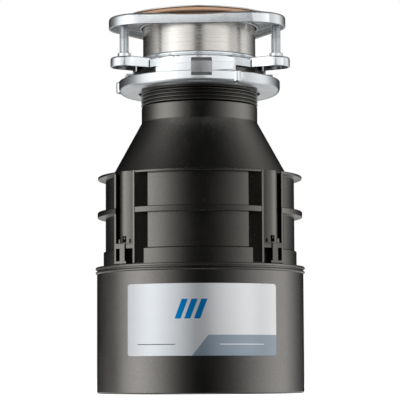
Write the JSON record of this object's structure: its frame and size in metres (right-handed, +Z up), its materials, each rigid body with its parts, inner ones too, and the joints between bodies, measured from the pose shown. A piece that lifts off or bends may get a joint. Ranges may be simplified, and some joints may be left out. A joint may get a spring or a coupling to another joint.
{
  "type": "kitchen garbage disposal",
  "caption": "Under-sink kitchen garbage disposal: dark cylindrical motor can, ribbed grinding container and zinc quick-lock sink mount with clamping screws.",
  "frame": {"origin": "centre of the foot ring under the motor can, on the plane it stands on", "axes": "+Z up along the motor shaft; the label faces -Y and the discharge outlet faces +Y"},
  "size_m": [0.1622, 0.1622, 0.2927],
  "materials": {
    "can_paint": "satin dark bronze-grey baked enamel with a fine metallic fleck",
    "bell_paint": "satin black enamel",
    "container_plastic": "satin black glass-filled moulding",
    "zinc": "bright zinc plate, lightly clouded",
    "stainless": "polished stainless steel",
    "steel": "plain turned steel",
    "lamination": "stacked electrical steel, dull",
    "copper_wire": "enamelled copper winding",
    "cast_aluminium": "as cast",
    "bronze": "oil-filled sintered bronze",
    "rubber": "matt black rubber",
    "fibre": "tan pressed fibre",
    "moulding": "black phenolic moulding",
    "red_plastic": "red moulded plastic",
    "green_screw": "green grounding screw",
    "label_foil": "brushed aluminium foil with a slate panel, no lettering"
  },
  "bodies": {
    "housing": {"motor_can": "can_paint", "terminal_cover": "zinc", "terminal_cover_screw": "zinc", "ground_screw": "green_screw", "lower_end_bell": "cast_aluminium", "lower_bearing": "bronze", "thrust_washer": "steel", "stator_core": "lamination", "stator_winding_lower": "copper_wire", "stator_winding_upper": "copper_wire", "start_switch": "moulding", "overload_protector": "moulding", "through_bolt_1": "steel", "through_bolt_2": "steel", "through_bolt_3": "steel", "through_bolt_4": "steel", "upper_end_bell": "bell_paint", "upper_bearing": "bronze", "shaft_seal": "rubber", "container_body": "container_plastic", "dishwasher_inlet_plug": "container_plastic", "body_gasket": "rubber", "shredder_ring": "stainless", "label_plate": "label_foil", "cushion_mount": "rubber", "splash_baffle": "rubber", "upper_mounting_ring": "zinc", "screw_collar_1": "zinc", "screw_collar_2": "zinc", "screw_collar_3": "zinc", "snap_ring": "steel", "sink_flange": "stainless"},
    "rotor": {"shaft": "steel", "rotor_core": "lamination", "rotor_fan": "cast_aluminium", "turntable": "stainless", "turntable_nut": "stainless", "lug_rivet_a": "steel", "lug_rivet_b": "steel"},
    "switch_collar": {"switch_actuator": "moulding"},
    "lug_a": {"swivel_lug_a": "stainless"},
    "lug_b": {"swivel_lug_b": "stainless"},
    "locking_ring": {"lower_mounting_ring": "zinc"},
    "clamp": {"backup_flange": "zinc", "fibre_gasket": "fibre"},
    "screw_1": {"mounting_screw_1": "zinc"},
    "screw_2": {"mounting_screw_2": "zinc"},
    "screw_3": {"mounting_screw_3": "zinc"},
    "reset_key": {"reset_button": "red_plastic"}
  },
  "joints": [
    {"name": "rotor_spin", "type": "hinge", "parent": "housing", "child": "rotor", "pos_m": [0, 0, 0.08], "axis": [0, 0, 1], "continuous": true},
    {"name": "lug_a_swing", "type": "hinge", "parent": "rotor", "child": "lug_a", "pos_m": [0.038, 0, 0.154], "axis": [0, 0, 1], "continuous": true},
    {"name": "lug_b_swing", "type": "hinge", "parent": "rotor", "child": "lug_b", "pos_m": [-0.038, 0, 0.154], "axis": [0, 0, 1], "continuous": true},
    {"name": "start_collar_lift", "type": "slide", "parent": "rotor", "child": "switch_collar", "axis": [0, 0, 1], "range_m": [0, 0.003], "stiffness_N_per_m": 300, "springref_m": -0.001},
    {"name": "reset_press", "type": "slide", "parent": "housing", "child": "reset_key", "axis": [0, 0, 1], "range_m": [0, 0.0023], "stiffness_N_per_m": 400, "springref_m": -0.001},
    {"name": "ring_unlock", "type": "hinge", "parent": "housing", "child": "locking_ring", "pos_m": [0, 0, 0.2375], "axis": [0, 0, 1], "range_deg": [-25, 0]},
    {"name": "clamp_lift", "type": "slide", "parent": "housing", "child": "clamp", "axis": [0, 0, 1], "range_m": [-0.007, 0]},
    {"name": "screw_1_turn", "type": "hinge", "parent": "clamp", "child": "screw_1", "pos_m": [-0.00293, 0.06714, 0.265], "axis": [0, 0, 1], "range_deg": [-1787, 1]},
    {"name": "screw_2_turn", "type": "hinge", "parent": "clamp", "child": "screw_2", "pos_m": [-0.05668, -0.03611, 0.265], "axis": [0, 0, 1], "range_deg": [-1787, 1]},
    {"name": "screw_3_turn", "type": "hinge", "parent": "clamp", "child": "screw_3", "pos_m": [0.05961, -0.03103, 0.265], "axis": [0, 0, 1], "range_deg": [-1787, 1]}
  ],
  "couplings": [
    {"joint": "screw_1_turn", "follows": "clamp_lift", "rad_per_m": 4452.7},
    {"joint": "screw_2_turn", "follows": "clamp_lift", "rad_per_m": 4452.7},
    {"joint": "screw_3_turn", "follows": "clamp_lift", "rad_per_m": 4452.7}
  ]
}
